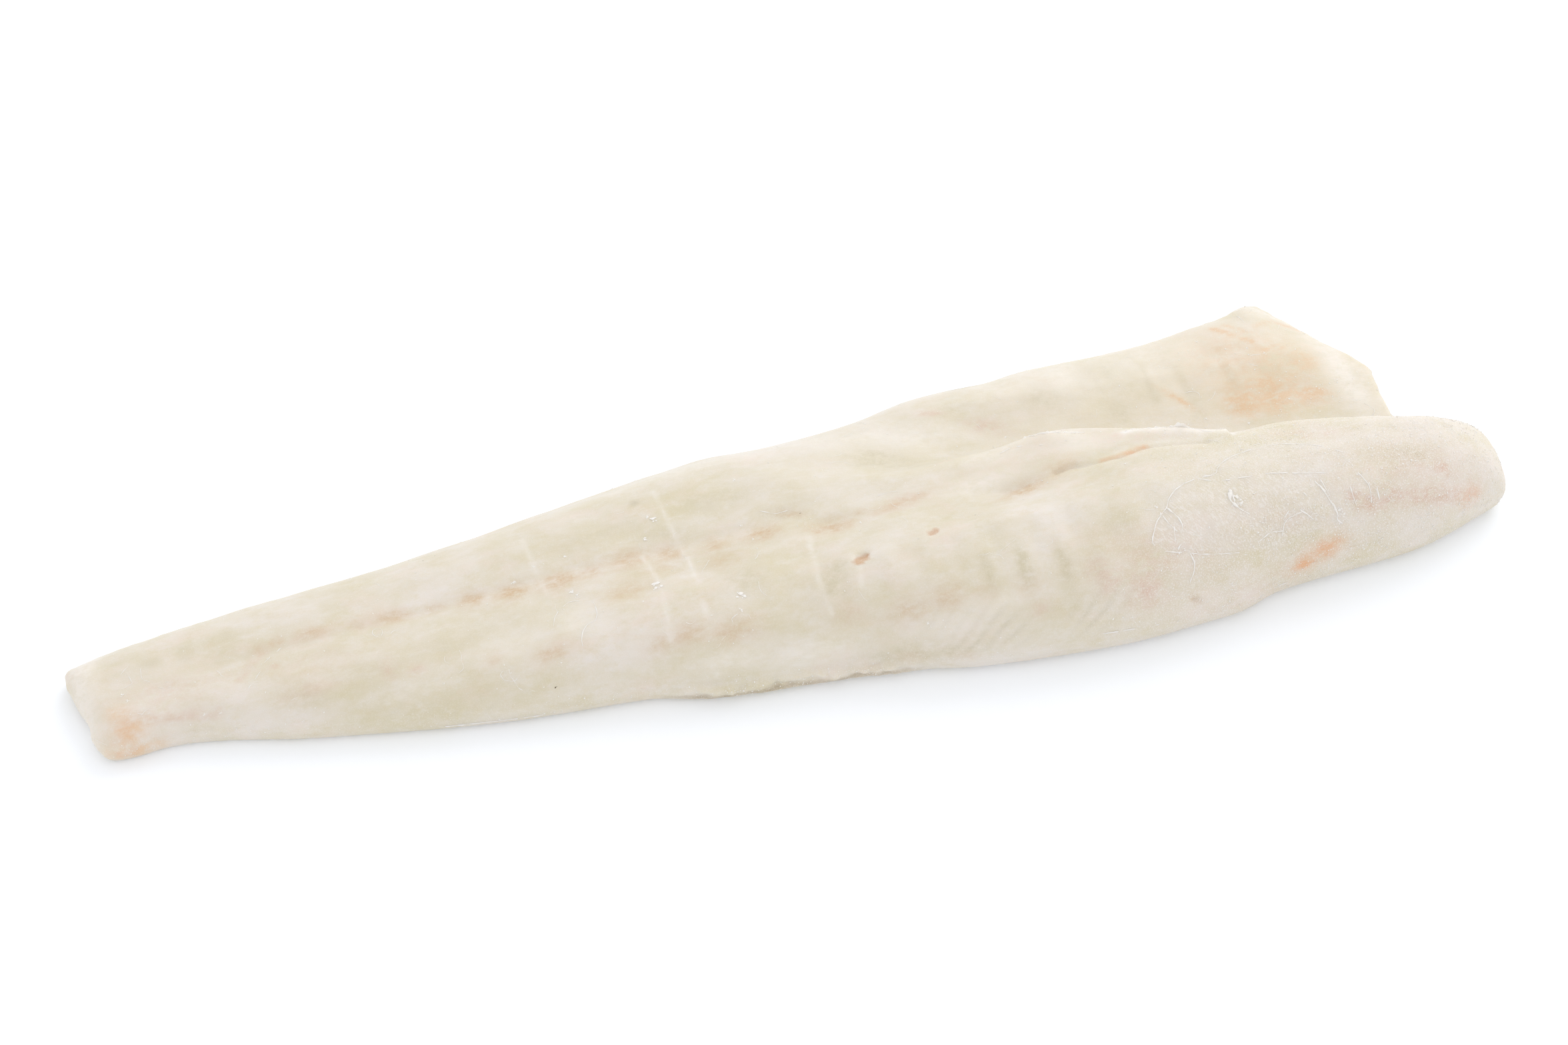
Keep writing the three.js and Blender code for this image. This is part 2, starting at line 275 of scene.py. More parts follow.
# The flesh. A mark is a place, its half length, half width and turn, how deep it is pressed in
# and how strongly it is tinted. Unevenness is a list of heights, sizes, seeds and, for hills that are
# longer along x, how much longer.
flesh = {
    "grain": 0.6,  # mm between the points of the fine surface
    "smoothing": 5,
    "edgeRows": 4,  # rows of faces that all stay round the flat underside
    "undersideKept": 0.12,  # share of the faces within them that stays
    "uneven": [(0.08, 8, 11, 1.6), (0.035, 3.2, 12, 2), (0.02, 1.6, 13, 2)],
    # the upright edges are more ragged in a band a little above the table
    "edgeBand": {"height": 3.5, "reach": 2.5, "uneven": [(0.12, 1.8, 14), (0.15, 5, 15)]},
    "seamMarks": [
        ((-108.0, -4.6, 9.3), 1.8, 1.6, 24, 0.04, 0.4), ((-104.2, -3.8, 9.5), 1.9, 1.3, 20, 0.04, 0.5),
        ((-97.7, -3.8, 10.0), 3.6, 1.6, 2, 0.05, 0.6), ((-88.1, -4.5, 10.2), 1.8, 1.3, 0, 0.04, 0.35),
        ((-81.1, -4.2, 10.5), 3.8, 1.7, 0, 0.05, 0.65), ((-72.7, -4.3, 10.6), 2.8, 1.4, 0, 0.04, 0.4),
        ((-65.4, -4.5, 11.5), 3.0, 2, 0, 0.06, 0.7), ((-57.7, -5.3, 12.2), 3.6, 2.3, 2, 0.07, 0.8),
        ((-48.2, -5.3, 12.8), 5.0, 2.3, 2, 0.07, 0.8), ((-41.8, -4.9, 13.1), 3.4, 2, 2, 0.06, 0.6),
        ((-33.3, -4.2, 13.5), 4.6, 2.7, 0, 0.07, 0.65), ((-26.0, -4.7, 13.6), 3.4, 2.3, -2, 0.06, 0.6),
        ((-16.9, -5.3, 14.3), 4.0, 2.2, 0, 0.07, 0.5), ((-7.1, -5.5, 15.2), 4.4, 2.2, 0, 0.12, 0.7),
    ],
    "dimples": [
        ((-0.2, -1.9, 15.0), 3.4, 1.2, -25, 0.15, 0.45), ((6.2, -8.2, 16.1), 4.6, 2.2, -2, 0.3, 0.85),
        ((12.0, -6.5, 16.9), 2.2, 1.0, 10, 0.2, 0.35), ((46.0, -9.6, 16.8), 5.5, 2.2, 14, -0.1, 0.75),
        ((52.5, -7.4, 17.2), 6.0, 2.2, 24, -0.7, 0.4), ((21.0, -6.3, 16.9), 6.0, 1.6, 12, 0.1, 0.4),
    ],
    "lowMarks": [
        ((-53.2, -22.4, 12.3), 3.8, 2.0, 4, 0.05, 0.5), ((-64.5, -21.2, 11.7), 1.8, 1.2, 4, 0.03, 0.3),
        ((-32.9, -26.0, 12.5), 3.4, 2.0, 4, 0.05, 0.35), ((-27.2, -25.8, 13.8), 4.4, 2.2, 4, 0.05, 0.5),
        ((-18.1, -27.4, 14.0), 4.8, 2.4, 4, 0.08, 0.55), ((-36.1, -12.7, 14.7), 5.4, 2.6, 6, 0.08, 0.45),
        ((-16.2, -10.0, 14.9), 4.0, 3.0, 6, 0.08, 0.35), ((-29.0, -8.6, 13.9), 5.0, 2.6, 0, 0.05, 0.3),
        ((4, -29.4, 14.2), 3.4, 2.2, 4, 0.04, 0.3), ((15.9, -31.9, 15.0), 5.0, 2.5, 4, 0.08, 0.4),
        ((23.4, -32.0, 16.6), 3.6, 2.6, 4, 0.08, 0.45), ((30.4, -33.2, 16.7), 3.0, 2.2, 4, 0.05, 0.25),
        ((38.7, -34.1, 16.9), 3.2, 2.2, 4, 0.05, 0.2), ((14.9, -36.3, 5.6), 2.4, 1.6, 0, 0.02, 0.5),
        ((25.1, -38.9, 5.8), 2.2, 1.3, 0, 0.02, 0.35),
    ],
    # place, half length, half width and turn of the small holes that bones left, cut in the solid
    "boneHoles": [((9.4, -19.6, 18.1), 2.2, 1.1, 24), ((24.6, -17.4, 18.6), 1.5, 0.8, 28)],
    "fold": {  # the sharp line where the strip of flesh over the valley meets the loin
        "line": [(53, -7.4, 17.4), (56.1, -6.8, 17.6), (60.8, -7.5, 18.9), (66, -8.1, 20),
                 (70.8, -6.9, 19.8), (77.8, -7.9, 20.4), (84, -9.3, 20.6)],
        "width": 0.7, "depth": 0.55,
    },
    "lip": {  # a ragged lip that overhangs the foot of the front edge, and how far each comes forward
        "from": -37, "to": 21, "fade": 12, "height": 3.4, "spread": 1.5,
        "forward": 1.6, "foot": 1.4, "uneven": [(0.25, 4, 16), (0.22, 1.3, 17)],
    },
    # the grooves between the segments are pressed in and also darkened with painted shade
    "muscleLines": {  # close diagonal lines between the muscle segments, low on the front of the loin
        # from x to x, between two heights, and how strong
        "stretches": [(10, 70, 5.5, 17, 1), (-96, -58, 3.5, 10, 0.4)],
        "pitch": 3.6, "lean": 1.1, "depth": 0.05, "uneven": [(0.8, 12, 5), (0.25, 3, 6)],
    },
}

# The sheet of glaze on the loin: its outline and middle seen from above, how high it lies on the flesh
# and how deep its rim is sunk in, and between which y it turns cloudy.
glazeSheet = {
    "outline": [(65.2, -30.9), (67.1, -27.6), (69.9, -25.1), (71.1, -23.2), (74, -21.1), (78, -20),
                (82.9, -18.3), (85.7, -16.3), (90.4, -14.8), (95.9, -14.3), (100.5, -15),
                (104.7, -16.7), (109.3, -20.3), (112.5, -23.8), (111.5, -28.2), (104, -32), (97, -33.6),
                (89, -35.2), (81.8, -35.5), (73.8, -34.8), (69.9, -34), (66.7, -33.3)],
    "middle": (88, -26), "rings": 30,
    "lift": 0.06, "sunk": 0.03, "thickness": 0.2, "wrinkles": 0.05,
    "cloudyFrom": -20, "cloudyTo": -23.5,
}

# Where the knife tore the ridge over the valley, its edge stands up, thin and ragged. Corners are a place
# seen from above, how high the flesh rises there, and how high the torn edge stands on it.
tornEdges = {
    "edges": [
        [(50, 4.0, 0.1, 0.05), (52.5, 3.6, 0.4, 0.2), (54, 3.2, 0.6, 0.2), (57, 2.6, 0.5, 0.1),
         (60, 2.0, 0.3, 0.1), (62.5, 1.6, 0.1, 0.05)],
        [(70, -0.2, 0.1, 0.05), (72, -0.5, 0.4, 0), (75, -1.2, 0.7, 0), (78.4, -2.1, 1.0, 0.1),
         (79.7, -2.5, 1.3, 0.6), (80.7, -2.9, 1.5, 1.1), (82, -3.4, 1.3, 0.4), (83.5, -4.0, 1.1, 0),
         (85.5, -4.7, 1.2, 0), (87.5, -5.4, 1.2, 0.1), (89.1, -6.0, 1.2, 0.2), (89.7, -6.2, 0.1, 0)],
    ],
    "ahead": 4.5, "behind": 0.9,  # mm over which the raised flesh runs out
    "root": 0.5, "lean": 0.6, "steps": 6, "atRoot": 0.5, "atTop": 0.1, "tear": 0.15,
}

# Where each tint lies on the flesh. An oval is a place, half length, half width, turn and strength;
# a stroke is its corners, width and strength.
tints = {
    "pale": {"ovals": [
        ((21, 17, 11), 26, 6, 0, 0.5), ((-14, 17, 12.8), 22, 4, 0, 0.4),
        ((62, -1.2, 18.2), 16, 3, -8, 0.7), ((42, 0, 17), 10, 3, 0, 0.6), ((39, -5, 17), 9, 3, 6, 0.8),
        ((124, 17, 4.4), 4, 13, 10, 0.9), ((118, 34, 4), 12, 3, -24, 0.6), ((72, 27, 7), 30, 8, 4, 0.55),
        ((-142, -4, 5.5), 3.0, 14, 0, 1.0), ((112, -26, 19.7), 5, 3, 0, 0.5),
        ((-47, -17, 13.4), 5, 4, 0, 0.5), ((4, -9, 17), 9, 2, 0, 0.3), ((-128, -4, 8), 9, 4, 0, 0.35),
        ((-60, -18, 12), 10, 4, 0, 0.4), ((24, -34, 12), 12, 3, 4, 0.3), ((-4, -33, 9), 10, 4, 0, 0.5),
        ((-19, -31, 10), 9, 3, 0, 0.55), ((33, -35, 15.5), 9, 2.4, 0, 0.5),
        ((-82, -22, 9), 9, 2.6, 0, 0.4),
    ]},
    "grey": {"ovals": [
        ((-121.6, -1.0, 8.3), 1.6, 2.2, 0, 0.5), ((-128.5, -0.9, 7.8), 2.2, 1.4, 0, 0.45),
        ((-112.3, 1.0, 9.2), 3.0, 1.6, 0, 0.4), ((-16.1, 6.0, 14.4), 4.5, 2.4, 0, 0.45),
        ((-25.0, 0.4, 14.0), 6.0, 2.2, 0, 0.4), ((-37.7, 4.3, 13.5), 9.0, 2.8, 0, 0.35),
        ((-14, -17, 16.4), 5, 3, 0, 0.5), ((-9.7, 6.8, 14.7), 6.0, 3.0, 0, 0.4),
        ((-1.5, -1.6, 15.0), 5.0, 1.6, -20, 0.6), ((2.0, -23.0, 17.3), 3.4, 4.4, 0, 0.8),
        # painted shade: the grey ovals at x 20.6, 25.2 and 28 darken the hollow of the valley
        ((4.5, -20, 17.8), 2, 2, 0, 0.6), ((20.6, 11.2, 11.4), 8.0, 4.0, -8, 0.7),
        ((25.2, 7.8, 11.7), 6.0, 3.0, 8, 0.6), ((28, 5, 13.6), 8, 3, 0, 0.4),
        # painted shade: the four narrow grey bands from x 32 to 53 darken the grooves between the muscle
        # bands on the loin's front
        ((32.1, -29.2, 18.8), 1.3, 4.0, 0, 0.7), ((39.3, -30.2, 18.8), 1.5, 4.4, 0, 1.0),
        ((46.9, -31.5, 18.8), 1.5, 4.4, 0, 0.8), ((53.2, -33.6, 18.3), 1.4, 4.0, 0, 0.6),
        ((73.9, 25.9, 7.8), 4.0, 6.0, -60, 0.4), ((59.3, 21.1, 8.6), 5.0, 4.0, 0, 0.4),
        ((58.0, -26.0, 20.3), 6.0, 3.0, 0, 0.4), ((123.5, -22.7, 20), 5.0, 2.0, -20, 0.7),
        ((-101, -18, 9.5), 5.0, 3.0, 0, 0.4), ((-88, -17, 10), 9, 3, 0, 0.3),
        ((-66, -14, 13), 14, 3, 2, 0.35), ((16, -37, 6.5), 14, 3, 6, 0.6),
        ((100, -18, 21), 12, 1.6, -8, 0.3), ((75, 15.5, 6), 4, 3, -30, 0.5),
        ((80.8, 24.5, 7.4), 4, 2.4, -40, 0.3),
    ], "strokes": [
        ([(83.1, 27, 7.1), (83.1, 21.5, 6.7), (83.6, 17, 6)], 1.2, 0.35),
        ([(90.0, 24, 7), (90.9, 17.4, 5.7), (91.6, 12, 5)], 1.3, 0.35),
        ([(100.3, 27, 6.9), (100.4, 22.3, 6.7), (100.9, 17, 5.9)], 1.1, 0.4),
    ]},
    "pink": {"ovals": [
        ((-127, -9, 8.4), 13, 6, 0, 0.2), ((-105.7, -10.1, 10.1), 1.3, 1.0, 0, 0.4),
        ((-98, -12, 10), 12, 4, 0, 0.12), ((-79.4, -19.1, 11.3), 1.6, 1.1, 0, 0.4),
        ((-99, -17.5, 9.8), 5, 1.4, 0, 0.25), ((-84.5, -17.5, 10.8), 1.6, 2.4, 0, 0.3),
        ((46, -2, 17.5), 16, 3.4, 6, 0.15), ((71, -2, 18.6), 10, 2.6, -10, 0.3),
        ((53.6, -34.2, 18.0), 3.0, 3.0, 0, 0.4), ((61.8, -38.5, 14.5), 4.0, 4.0, 0, 0.6),
        ((55, -36.5, 16), 2.4, 2.4, 0, 0.5), ((67, -35, 16.5), 3, 2, 0, 0.35),
        ((40.6, -37.4, 14.4), 2.4, 2.0, 0, 0.3), ((108.0, -29.2, 18.4), 1.8, 1.6, 0, 0.8),
        ((105, -12.5, 20.5), 8, 1.6, -14, 0.35), ((122, -26, 18), 18, 8, -8, 0.25),
        ((90, -38, 8), 26, 5, 6, 0.2), ((128.0, -25.8, 17.6), 2.4, 1.8, -40, 0.9),
        ((46.4, 16.7, 8.6), 4.4, 1.7, -20, 0.45), ((35.1, 21.9, 10.3), 3.4, 0.7, -14, 0.5),
        ((33.6, 3.0, 15.6), 2.6, 0.5, 12, 0.5), ((21.0, -6.3, 16.9), 6.0, 1.8, 12, 0.3),
        ((104, 26, 6.6), 9, 6, -14, 0.2), ((88, -30, 19), 12, 4, -10, 0.2),
        ((66, -33, 17.5), 13, 6, 0, 0.3),
    ], "strokes": [
        ([(110, -30.5, 17), (117.6, -30.0, 16.5), (125.0, -29.7, 15.0), (134.2, -28.6, 10.5)], 2.2, 0.65),
        ([(-135, -14.2, 7.2), (-126.4, -15.2, 7.4), (-118.2, -16.5, 7.6)], 1.2, 0.35),
        ([(-112.6, -11, 9.2), (-110, -8, 9.4), (-107, -5, 9.4)], 1.1, 0.3),
    ]},
    "orange": {"ovals": [
        ((101.8, 13.0, 5.0), 4.6, 3.6, -10, 1.0), ((108.5, 12.6, 4.8), 5.0, 4.0, 0, 1.0),
        ((115.2, 11.6, 4.7), 4.6, 2.8, -14, 0.9), ((107.5, 16.0, 5.2), 9.0, 3.0, -8, 0.8),
        ((106, 22, 6.3), 14, 8, -14, 0.35), ((88.0, 16.4, 5.7), 4.4, 0.8, -48, 0.7),
        ((116, 20, 5.6), 5, 5, 0, 0.5), ((-135.1, -16.2, 6.3), 3.4, 3.0, 0, 0.7),
        ((-136.5, -12, 7.2), 2.4, 2.4, 0, 0.5), ((-133.5, -17.9, 2.6), 5.0, 2.0, 0, 0.8),
        ((71.9, -39.4, 10.0), 1.4, 0.7, -40, 1.0),
    ], "strokes": [
        ([(101.4, 33.2, 6.5), (104.6, 30.2, 6.8), (108.0, 27.5, 6.7)], 0.8, 0.8),
        ([(104, 33.8, 6.4), (108.6, 30.0, 6.6)], 0.6, 0.6),
        ([(110.5, 31.6, 6.4), (115.0, 33.6, 5.1), (120, 31, 4)], 0.7, 0.6),
        ([(109.7, 24.7, 6.5), (113.8, 25.0, 6.1)], 0.9, 0.6),
    ]},
    "cream": {"ovals": [((92, 22, 7), 40, 14, 8, 0.55), ((20, 12, 11), 14, 5, 0, 0.25)]},
    "scratches": {"strokes": [
        ([(70, -0.2, 18.9), (75, -1.2, 19.5), (80.7, -2.9, 20.5), (85.5, -4.7, 20.5),
          (89.5, -6.2, 20.8)], 1.2, 0.9),
        ([(51, 3.8, 16.5), (54, 3.2, 17), (60, 2.0, 17.5)], 0.8, 0.6),
        ([(-24.8, 12.4, 13), (-24, 2.8, 14), (-23, -5.5, 14)], 0.55, 0.4),
        ([(-31, -4.3, 14), (-29.7, -11.5, 15), (-30, -20, 14.6), (-30.7, -25.9, 13)], 0.55, 0.4),
        ([(-22.5, -7, 14.6), (-22.7, -22.3, 14.5), (-23.1, -31.6, 6.8)], 0.55, 0.5),
        ([(-52.8, 7.1, 12), (-52.2, -0.3, 12.5), (-51.2, -7.6, 13)], 0.55, 0.3),
        ([(0.9, -12.1, 17.5), (0, -22, 17), (0.7, -29.1, 14.8)], 0.55, 0.35),
        ([(1.2, -9.7, 17), (0.5, -18.7, 17.5)], 0.55, 0.3),
        ([(8.7, -20.7, 18), (7.6, -25.7, 17.6)], 0.55, 0.3),
    ]},
    "blood": {"ovals": [
        ((134.0, -28.6, 10.8), 3.0, 2.2, 0, 0.45), ((96.4, -35.5, 8.8), 2.8, 2.0, 14, 1.0),
        ((100.6, -34.7, 10.8), 4.0, 2.4, 12, 0.9), ((-135.6, -15, 6.6), 1.6, 2.8, 0, 0.3),
        ((-137, -18, 3), 3.4, 1.6, 0, 0.35),
    ], "strokes": [
        ([(62.5, -7.6, 18.9), (66.5, -7.5, 19.8)], 0.6, 0.5),
        ([(67, -7.7, 20), (69.4, -7.1, 20), (71.6, -6.8, 19.8)], 0.9, 0.75),
    ]},
    "bruise": {"ovals": [
        ((44.6, 28.4, 6.4), 2.8, 1.2, 0, 0.8), ((-29.2, 10.4, 13), 1.1, 0.9, 0, 0.35),
        ((71.9, -39.4, 10.0), 1.6, 0.7, -40, 0.6),
    ]},
}


def fineCopy(node):
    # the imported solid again, as an even mesh that is fine enough for the marks on the flesh
    piece = node.copy()
    piece.data = node.data.copy()
    bpy.context.scene.collection.objects.link(piece)
    piece.parent = None
    piece.name = "flesh"
    piece.data.name = "flesh"
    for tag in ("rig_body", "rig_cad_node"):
        del piece[tag]
    selectOnly(piece)
    bpy.ops.object.mode_set(mode="EDIT")
    bpy.ops.mesh.select_all(action="SELECT")
    bpy.ops.mesh.remove_doubles(threshold=0.02 * mm)
    bpy.ops.object.mode_set(mode="OBJECT")
    applyModifier(piece, "REMESH", mode="VOXEL", voxel_size=flesh["grain"] * mm, use_smooth_shade=True)
    applyModifier(piece, "SMOOTH", factor=0.5, iterations=flesh["smoothing"])
    points = pointsOf(piece)
    points[:, 2] = np.maximum(points[:, 2], 0)
    movePoints(piece, points)
    return piece


def thinUnderside(piece):  # the flat underside needs few faces, away from its edges
    count = len(piece.data.polygons)
    centres, normals = np.empty(3 * count, np.float32), np.empty(3 * count, np.float32)
    piece.data.polygons.foreach_get("center", centres)
    piece.data.polygons.foreach_get("normal", normals)
    flat = (centres.reshape(-1, 3)[:, 2] < 0.05 * mm) & (normals.reshape(-1, 3)[:, 2] < -0.999)
    selectOnly(piece)
    bpy.ops.object.mode_set(mode="EDIT")
    bpy.ops.mesh.select_mode(type="FACE")
    bpy.ops.mesh.select_all(action="DESELECT")
    bpy.ops.object.mode_set(mode="OBJECT")
    piece.data.polygons.foreach_set("select", flat)
    bpy.ops.object.mode_set(mode="EDIT")
    for _ in range(flesh["edgeRows"]):
        bpy.ops.mesh.select_less()
    bpy.ops.mesh.decimate(ratio=flesh["undersideKept"])
    bpy.ops.object.mode_set(mode="OBJECT")


def muscleLines(points):
    # where the lines between the muscle segments show, from 0 to 1, and the wave that they follow
    lines = flesh["muscleLines"]
    x, y, z = points.T
    bent = x - lines["lean"] * z + unevenness(points, lines["uneven"])
    wave = 0.5 + 0.5 * np.cos(2 * math.pi * bent / lines["pitch"])
    patchy = np.clip(0.5 + 0.5 * hills(points, 7, 7), 0, 1)
    lined = np.zeros(len(points))
    for fromX, toX, low, high, strength in lines["stretches"]:
        within = rise(x, fromX, fromX + 14) * (1 - rise(x, toX - 14, toX))
        within *= rise(z, low, low + 3) * (1 - rise(z, high - 4, high)) * (y < -15)
        lined = np.maximum(lined, strength * within * patchy)
    return lined, wave


def frontLip(points, surface):
    # where the front edge has its lip, from 0 to 1, and how far out the lip stands at each height
    edge = flesh["lip"]
    x, y, z = points.T
    places = np.arange(edge["from"], edge["to"] + 1)
    front = np.interp(x, places, [surface.behind(place, 3)[0][1] for place in places])
    span = rise(x, edge["from"], edge["from"] + edge["fade"]) * (1 - rise(y - front, 0, 4))
    span *= 1 - rise(x, edge["to"] - edge["fade"], edge["to"])
    return span, bell(z - edge["height"], edge["spread"]) * (0.85 + unevenness(points, edge["uneven"]))


def ridgeRise(points):  # how much higher the flesh is beside the torn edges
    x, y, z = points.T
    raised = np.zeros(len(points))
    for corners in tornEdges["edges"]:
        ridge = np.array(corners)
        off = y - np.interp(x, ridge[:, 0], ridge[:, 1])
        slope = 1 - rise(np.abs(off), 0, np.where(off < 0, tornEdges["ahead"], tornEdges["behind"]))
        raised += slope * np.interp(x, ridge[:, 0], ridge[:, 2], 0, 0) * (z > 10)
    return raised


def sculpt(piece, surface):
    points, normals = pointsOf(piece), pointsOf(piece, "normal")
    z, up = points[:, 2], normals[:, 2]
    onTop = rise(up, -0.3, 0.3)  # nothing is pressed into the underside
    press, brown = unevenness(points, flesh["uneven"]), np.zeros(len(points))
    marks = flesh["seamMarks"] + flesh["dimples"] + flesh["lowMarks"]
    for place, along, across, turn, depth, shade in marks:
        mark = oval(points, surface, place, along, across, turn)
        press += depth * mark
        brown = np.maximum(brown, shade * mark)
    holes = np.zeros(len(points))
    for place, along, across, turn in flesh["boneHoles"]:
        holes = np.maximum(holes, rise(oval(points, surface, place, along, across, turn), 0.3, 0.5))
    fold = flesh["fold"]
    press += fold["depth"] * stroke(points, surface, fold["line"], fold["width"])
    lined, wave = muscleLines(points)
    press += flesh["muscleLines"]["depth"] * lined * wave
    band = flesh["edgeBand"]
    ragged = rise(band["reach"] - np.abs(z - band["height"]), 0, 2) * rise(z, 0.6, 1.6)
    ragged *= 1 - rise(np.abs(up), 0.5, 0.85)
    press += ragged * unevenness(points, band["uneven"])
    span, lip = frontLip(points, surface)
    # painted shade: the foot below the lip is darkened in its colour, where the lip shades it
    foot = 0.8 * span * (1 - rise(z, 1.8, 2.8)) * rise(up, -0.7, -0.3)
    raised = ridgeRise(points)
    points -= normals * (press * onTop)[:, None]
    points[:, 2] += raised
    points[:, 1] -= span * (flesh["lip"]["forward"] * lip + flesh["lip"]["foot"] * (1 - rise(z, 1, 3)))
    movePoints(piece, points)
    paint(piece, "brown", brown * onTop)
    paint(piece, "foot", foot)
    paint(piece, "holes", holes)
    # painted shade: the grooves between the muscle segments are darkened in their colour
    paint(piece, "muscle", 0.4 * lined * wave ** 2)


def tint(piece, surface):
    points = pointsOf(piece)
    x, y, z = points.T
    amounts = {}
    for name, layer in tints.items():
        amount = np.zeros(len(points))
        for place, along, across, turn, strength in layer.get("ovals", []):
            amount = np.maximum(amount, strength * oval(points, surface, place, along, across, turn))
        for corners, width, strength in layer.get("strokes", []):
            amount = np.maximum(amount, strength * stroke(points, surface, corners, width))
        paint(piece, name, amount)
        amounts[name] = amount
    # frost lies thinly everywhere, thick at the loin's thick end and low on its front face, less on blood
    thickEnd = rise(x - 0.6 * y, 60, 105) * rise(-y, -4, 8)
    lowFront = (1 - rise(z, 4, 11)) * rise(-y, 8, 20)
    frosted = np.maximum(0.25 + 0.75 * thickEnd, 0.4 * lowFront)
    paint(piece, "frost", frosted * (1 - 0.7 * amounts["blood"]))
    # the haze under the sheet of glaze, densest where the sheet is cloudy
    cloudy = 1 - rise(y, glazeSheet["cloudyTo"], glazeSheet["cloudyFrom"])
    glazed = insideOutline(x, y, glazeSheet["outline"]) * (0.25 + 0.75 * cloudy)
    paint(piece, "glazed", glazed * (1 - 0.6 * rise(x, 95, 112)) * rise(z, 8, 10))
    paint(piece, "under", rise(-pointsOf(piece, "normal")[:, 2], 0.5, 0.9))


node = frame["nodes"]["fillet"]
fillet = fineCopy(node)
print("fine copy of the solid:", len(fillet.data.polygons), "faces")
plainFlesh = Surface(fillet)
sculpt(fillet, plainFlesh)
thinUnderside(fillet)
tint(fillet, plainFlesh)
skin = Surface(fillet)
print("marks and tints on the flesh:", len(fillet.data.polygons), "faces")

# The looks of the flesh. Clouds and frost are each a noise, the levels where it starts and is full, its
# strength, its colour, and the painted amount that it keeps to.
fleshLooks = {
    "noise": {  # size of its hills in mm, how much longer along the fillet, octaves, roughness, turn
        "milky": (15, 1.8, 4, 0.7, 0), "olive": (24, 1.6, 5, 0.7, 0), "rosy": (10, 1.6, 5, 0.7, 0),
        "ivory": (3.5, 1.5, 5, 0.85, 0), "white": (3, 1.7, 5, 0.85, 0), "fibres": (1, 9, 3, 0.6, 0),
        "mottle": (1.5, 1.5, 4, 0.7, 0), "veil": (7, 1, 5, 0.5, 0), "grains": (0.26, 1, 2, 0.6, 0),
        "smear": (3, 1.6, 5, 0.7, -60), "wrinkles": (0.4, 5, 3, 0.6, -58), "lines": (1.2, 5, 3, 0.5, 0),
        "pits": (0.4, 1.5, 3, 0.5, 0),
    },
    "ground": "#d1c8ad",
    "clouds": [
        ("milky", 0.34, 0.66, 0.8, "#e1dad4", None), ("olive", 0.5, 0.78, 0.35, "#c9bfa3", None),
        ("rosy", 0.52, 0.75, 0.5, "#e2d0c6", None), ("ivory", 0.5, 0.8, 0.6, "#cec19d", None),
        ("white", 0.5, 0.8, 0.6, "#e2dedb", None), ("fibres", 0.55, 0.8, 0.25, "#e0dccf", None),
    ],
    "marks": [  # painted amount, its colour, how far small mottles break it up
        ("cream", "#ddd2ba", 0.3), ("pale", "#e6e0d6", 0.4), ("grey", "#c9c0a7", 0.6),
        # muscle is painted shade in the grooves between the muscle segments
        ("pink", "#d2b8a5", 0.8), ("orange", "#dabf9f", 0.7), ("muscle", "#c0b8a2", 0.5),
        ("brown", "#cbb292", 0.6), ("scratches", "#e9e5df", 0.4), ("blood", "#dbaa80", 0.4),
        # the last of these, foot, is painted shade: the darkened colour of the foot under the lip
        ("bruise", "#a89c88", 0.2), ("holes", "#c9aa8c", 0.1), ("foot", "#a89a84", 0.3),
    ],
    "frost": [
        ("veil", 0.4, 0.7, 0.5, "#e0d7cf", "frost"), ("grains", 0.5, 0.64, 0.6, "#e9e4e0", "frost"),
        ("smear", 0.4, 0.65, 0.5, "#d8cfc4", "glazed"), ("wrinkles", 0.52, 0.62, 0.4, "#ece8e4", "glazed"),
    ],
    "relief": [("lines", 0.03), ("pits", 0.025)],  # a noise and its depth in mm
}
# On the skin side the muscle segments meet in wavering chevrons, on both sides of a strip of dark muscle.
skinSide = {
    "across": -4, "halfWidth": 2.4, "waver": 8, "pitch": 8, "sweep": 0.6,
    "wall": "#e6e2da", "strip": "#b39c84",
}


def fleshNoise(tree, place):
    noise = {}
    for name, (size, longer, octaves, rough, turn) in fleshLooks["noise"].items():
        drawn = addNode(tree, "Mapping", {
            "vector_type": "TEXTURE", "Rotation": (0, 0, math.radians(turn)), "Scale": (longer, 1, 1),
        }, {"Vector": place})
        cloud = addNode(tree, "TexNoise", {
            "Scale": 1 / (size * mm), "Detail": octaves, "Roughness": rough,
        }, {"Vector": drawn.outputs[0]})
        noise[name] = cloud.outputs["Fac"]
    return noise


